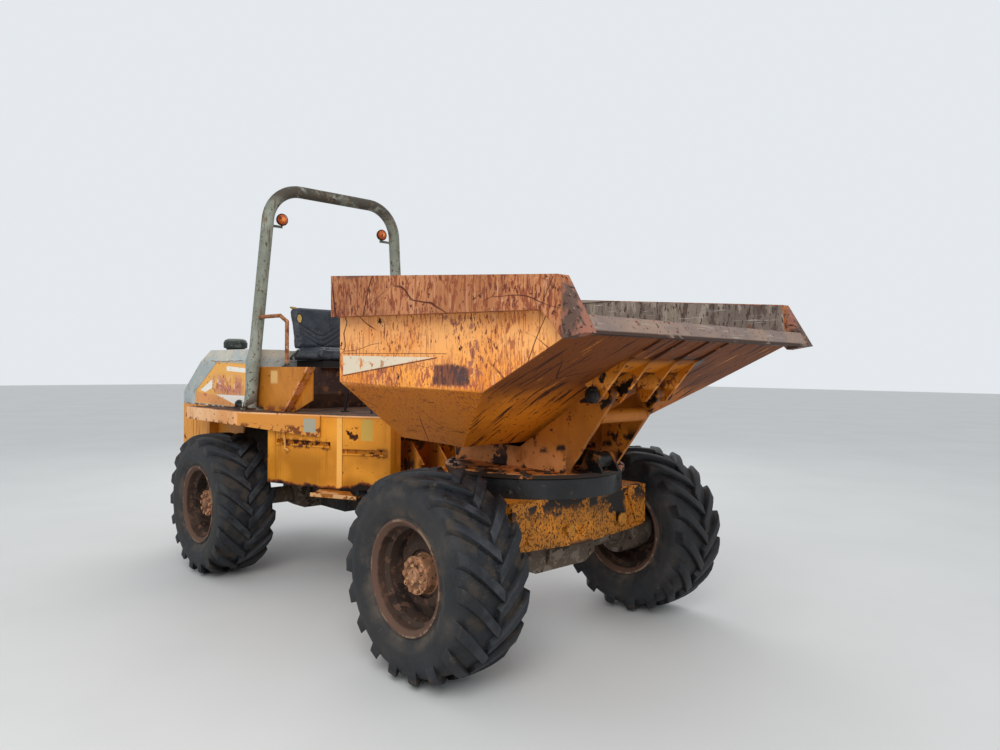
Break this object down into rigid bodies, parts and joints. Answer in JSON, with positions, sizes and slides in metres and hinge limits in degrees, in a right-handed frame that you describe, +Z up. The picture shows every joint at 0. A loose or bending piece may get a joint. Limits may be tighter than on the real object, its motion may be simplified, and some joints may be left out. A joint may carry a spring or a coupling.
{
  "type": "site_dumper",
  "caption": "Swivel-skip site dumper with articulated chassis, chevron tyres, roll bar and hinged engine bonnet, worn and rusty",
  "frame": {"origin": "on the ground under the middle of the overall length and width", "axes": "+X forward to the skip's lip, +Y to the driver's left, +Z up"},
  "size_m": [4.787, 2.061, 2.8819],
  "materials": {
    "skip_paint": "faded orange-yellow paint, rusty scratches",
    "skip_inside_steel": "worn bare steel with rust",
    "chassis_paint": "yellow-orange paint, dirty",
    "black_grease": "black, greasy",
    "bonnet_paint": "light blue-grey and orange panels",
    "frame_grey": "grey-green paint with rust specks",
    "rim_rust": "reddish-brown rust",
    "tyre_rubber": "worn, dusty",
    "axle_brown": "grey-brown, dusty",
    "seat_vinyl": "black vinyl, torn",
    "floor_brown": "dark brown, dirty",
    "amber": "amber lens",
    "rod_steel": "polished rod",
    "engine_iron": "oily",
    "lamp_red": "red lens",
    "black_plastic": "matt"
  },
  "bodies": {
    "rear_chassis": {"rear_axle": "axle_brown", "rear_frame": "chassis_paint", "tank_left": "chassis_paint", "tank_right": "chassis_paint", "rear_body": "chassis_paint", "tail_lamp_left": "lamp_red", "tail_lamp_right": "lamp_red", "deck": "chassis_paint", "engine_block": "engine_iron", "gearbox": "engine_iron", "seat_box": "floor_brown", "seat_cushion": "seat_vinyl", "seat_back": "seat_vinyl", "console_left": "chassis_paint", "console_right": "chassis_paint", "roll_bar": "frame_grey", "beacon_left": "amber", "grab_rail_left": "frame_grey", "beacon_right": "amber", "grab_rail_right": "frame_grey", "steering_column": "floor_brown", "steering_wheel": "black_plastic", "hand_lever": "black_plastic", "tow_jaw": "black_grease"},
    "front_chassis": {"front_axle": "axle_brown", "front_frame": "chassis_paint", "slew_ring": "black_grease"},
    "turntable": {"turntable_plate": "chassis_paint", "arms": "chassis_paint", "ram_base": "chassis_paint"},
    "skip": {"skip_shell": "skip_paint", "rim_band_left": "skip_paint", "rim_band_right": "skip_paint", "lip_beam": "skip_inside_steel", "skip_hinge": "skip_paint", "ram_bracket": "skip_paint"},
    "tip_barrel": {"ram_barrel": "black_grease"},
    "tip_rod": {"ram_rod": "rod_steel"},
    "bonnet_cover": {"bonnet": "bonnet_paint", "intake_cap": "black_plastic"},
    "wheel_rear_left": {"tyre_rear_left": "tyre_rubber", "rim_rear_left": "rim_rust"},
    "wheel_rear_right": {"tyre_rear_right": "tyre_rubber", "rim_rear_right": "rim_rust"},
    "wheel_front_left": {"tyre_front_left": "tyre_rubber", "rim_front_left": "rim_rust"},
    "wheel_front_right": {"tyre_front_right": "tyre_rubber", "rim_front_right": "rim_rust"},
    "steer_cylinder_left": {"steer_barrel_left": "black_grease"},
    "steer_piston_left": {"steer_rod_left": "rod_steel"},
    "steer_cylinder_right": {"steer_barrel_right": "black_grease"},
    "steer_piston_right": {"steer_rod_right": "rod_steel"}
  },
  "joints": [
    {"name": "steer", "type": "hinge", "parent": "rear_chassis", "child": "front_chassis", "pos_m": [0.3765, 0, 0.69], "axis": [0, 0, 1], "range_deg": [-33, 33]},
    {"name": "skip_slew", "type": "hinge", "parent": "front_chassis", "child": "turntable", "pos_m": [1.2065, 0, 0.942], "axis": [0, 0, 1], "range_deg": [-90, 90]},
    {"name": "skip_tip", "type": "hinge", "parent": "turntable", "child": "skip", "pos_m": [1.8865, 0, 1.38], "axis": [0, 1, 0], "range_deg": [0, 65]},
    {"name": "tip_ram_swing", "type": "hinge", "parent": "turntable", "child": "tip_barrel", "pos_m": [1.6865, 0, 1.025], "axis": [0, 1, 0], "range_deg": [-1, 70]},
    {"name": "tip_ram_stroke", "type": "slide", "parent": "tip_barrel", "child": "tip_rod", "axis": [-0.9997, 0, 0.0247], "range_m": [-0.01, 0.46]},
    {"name": "bonnet_lift", "type": "hinge", "parent": "rear_chassis", "child": "bonnet_cover", "pos_m": [-2.3445, 0, 1.187], "axis": [0, -1, 0], "range_deg": [0, 60]},
    {"name": "roll_front_left", "type": "hinge", "parent": "front_chassis", "child": "wheel_front_left", "pos_m": [1.3265, 0.828, 0.508], "axis": [0, 1, 0], "continuous": true},
    {"name": "roll_front_right", "type": "hinge", "parent": "front_chassis", "child": "wheel_front_right", "pos_m": [1.3265, -0.828, 0.508], "axis": [0, 1, 0], "continuous": true},
    {"name": "roll_rear_left", "type": "hinge", "parent": "rear_chassis", "child": "wheel_rear_left", "pos_m": [-1.2065, 0.828, 0.508], "axis": [0, 1, 0], "continuous": true},
    {"name": "roll_rear_right", "type": "hinge", "parent": "rear_chassis", "child": "wheel_rear_right", "pos_m": [-1.2065, -0.828, 0.508], "axis": [0, 1, 0], "continuous": true},
    {"name": "steer_ram_swing_left", "type": "hinge", "parent": "rear_chassis", "child": "steer_cylinder_left", "pos_m": [-0.1735, 0.3, 0.655], "axis": [0, 0, 1], "range_deg": [-14, 14]},
    {"name": "steer_ram_stroke_left", "type": "slide", "parent": "steer_cylinder_left", "child": "steer_piston_left", "axis": [1, 0, 0], "range_m": [-0.18, 0.18]},
    {"name": "steer_ram_swing_right", "type": "hinge", "parent": "rear_chassis", "child": "steer_cylinder_right", "pos_m": [-0.1735, -0.3, 0.655], "axis": [0, 0, 1], "range_deg": [-14, 14]},
    {"name": "steer_ram_stroke_right", "type": "slide", "parent": "steer_cylinder_right", "child": "steer_piston_right", "axis": [1, 0, 0], "range_m": [-0.18, 0.18]}
  ],
  "couplings": [
    {"joint": "tip_ram_swing", "follows": "skip_tip", "ratio": 0.9756},
    {"joint": "tip_ram_stroke", "follows": "skip_tip", "m_per_rad": 0.38518},
    {"joint": "steer_ram_swing_left", "follows": "steer", "ratio": 0.2982},
    {"joint": "steer_ram_stroke_left", "follows": "steer", "m_per_rad": -0.29397},
    {"joint": "steer_ram_swing_right", "follows": "steer", "ratio": 0.2982},
    {"joint": "steer_ram_stroke_right", "follows": "steer", "m_per_rad": 0.29397}
  ]
}
